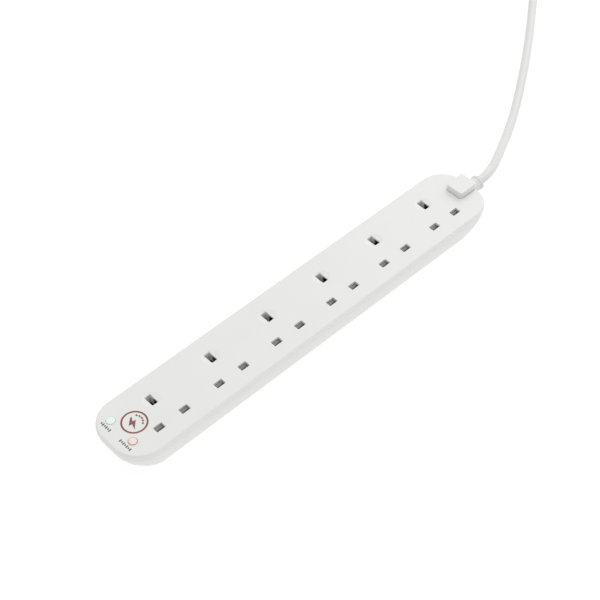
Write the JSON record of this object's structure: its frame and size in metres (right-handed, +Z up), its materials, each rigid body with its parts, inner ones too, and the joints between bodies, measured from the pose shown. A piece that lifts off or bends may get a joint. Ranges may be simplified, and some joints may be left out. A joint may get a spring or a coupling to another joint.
{
  "type": "power strip",
  "caption": "Long round-ended white extension lead with a row of shuttered sockets, two indicator lamps, a raised cord entry and a coiled lead with a fused plug.",
  "frame": {"origin": "centre of the case's footprint on the surface it stands on, leaving out the lead and plug", "axes": "+X along the case towards the cord entry, +Y across it towards the earth apertures, +Z up out of the socket face"},
  "size_m": [0.6594, 0.3232, 0.0437],
  "materials": {
    "case_white": "satin moulded",
    "base_white": "satin moulded",
    "shutter_white": "matt moulded",
    "spring_steel": "drawn wire",
    "zinc_steel": "zinc plated",
    "lens_green": "translucent, polished",
    "lens_pink": "translucent, polished",
    "neon_glass": "clear glass",
    "board_green": "solder mask",
    "varistor_blue": "epoxy dip",
    "fuse_metal": "satin",
    "resistor_tan": "lacquer",
    "brass": "stamped",
    "pin_brass": "polished",
    "sleeve_black": "matt moulded",
    "core_brown": "extruded PVC",
    "core_blue": "extruded PVC",
    "core_green": "extruded PVC",
    "guard_white": "flexible PVC",
    "sheath_white": "extruded PVC",
    "tie_black": "hook and loop",
    "plug_white": "satin moulded",
    "carrier_white": "matt moulded",
    "fuse_ceramic": "unglazed"
  },
  "bodies": {
    "case": {"ballast_resistor_1": "resistor_tan", "ballast_resistor_2": "resistor_tan", "base_shell": "base_white", "board_earth_wire": "core_green", "board_line_wire": "core_brown", "board_neutral_wire": "core_blue", "case_screw_1": "zinc_steel", "case_screw_2": "zinc_steel", "case_screw_3": "zinc_steel", "case_screw_4": "zinc_steel", "case_screw_5": "zinc_steel", "case_screw_6": "zinc_steel", "clamp_screw_1": "zinc_steel", "clamp_screw_2": "zinc_steel", "cord_clamp": "zinc_steel", "cord_coil": "sheath_white", "cord_grip_cap": "case_white", "cord_guard": "guard_white", "cord_lead": "sheath_white", "cord_tail": "sheath_white", "cord_tie": "tie_black", "earth_busbar": "brass", "earth_core": "core_green", "line_busbar": "brass", "line_core": "core_brown", "line_pin_sleeve": "sleeve_black", "neutral_busbar": "brass", "neutral_core": "core_blue", "neutral_pin_sleeve": "sleeve_black", "plug_body": "plug_white", "plug_cord_guard": "guard_white", "plug_earth_pin": "pin_brass", "plug_line_pin": "pin_brass", "plug_neutral_pin": "pin_brass", "power_lens": "lens_green", "power_neon": "neon_glass", "shutter_spring_1": "spring_steel", "shutter_spring_2": "spring_steel", "shutter_spring_3": "spring_steel", "shutter_spring_4": "spring_steel", "shutter_spring_5": "spring_steel", "shutter_spring_6": "spring_steel", "surge_board": "board_green", "surge_lens": "lens_pink", "surge_neon": "neon_glass", "thermal_fuse": "fuse_metal", "top_cover": "case_white", "varistor_1": "varistor_blue", "varistor_2": "varistor_blue", "varistor_3": "varistor_blue"},
    "shutter_1": {"shutter_1": "shutter_white"},
    "shutter_2": {"shutter_2": "shutter_white"},
    "shutter_3": {"shutter_3": "shutter_white"},
    "shutter_4": {"shutter_4": "shutter_white"},
    "shutter_5": {"shutter_5": "shutter_white"},
    "shutter_6": {"shutter_6": "shutter_white"},
    "fuse_drawer": {"fuse_carrier": "carrier_white", "plug_fuse": "fuse_ceramic"}
  },
  "joints": [
    {"name": "shutter_1_slide", "type": "slide", "parent": "case", "child": "shutter_1", "axis": [0, -1, 0], "range_m": [0, 0.0055], "stiffness_N_per_m": 120, "springref_m": -0.003, "deforming": ["shutter_spring_1"]},
    {"name": "shutter_2_slide", "type": "slide", "parent": "case", "child": "shutter_2", "axis": [0, -1, 0], "range_m": [0, 0.0055], "stiffness_N_per_m": 120, "springref_m": -0.003, "deforming": ["shutter_spring_2"]},
    {"name": "shutter_3_slide", "type": "slide", "parent": "case", "child": "shutter_3", "axis": [0, -1, 0], "range_m": [0, 0.0055], "stiffness_N_per_m": 120, "springref_m": -0.003, "deforming": ["shutter_spring_3"]},
    {"name": "shutter_4_slide", "type": "slide", "parent": "case", "child": "shutter_4", "axis": [0, -1, 0], "range_m": [0, 0.0055], "stiffness_N_per_m": 120, "springref_m": -0.003, "deforming": ["shutter_spring_4"]},
    {"name": "shutter_5_slide", "type": "slide", "parent": "case", "child": "shutter_5", "axis": [0, -1, 0], "range_m": [0, 0.0055], "stiffness_N_per_m": 120, "springref_m": -0.003, "deforming": ["shutter_spring_5"]},
    {"name": "shutter_6_slide", "type": "slide", "parent": "case", "child": "shutter_6", "axis": [0, -1, 0], "range_m": [0, 0.0055], "stiffness_N_per_m": 120, "springref_m": -0.003, "deforming": ["shutter_spring_6"]},
    {"name": "fuse_drawer_slide", "type": "slide", "parent": "case", "child": "fuse_drawer", "axis": [0, 0, 1], "range_m": [0, 0.0085]}
  ]
}
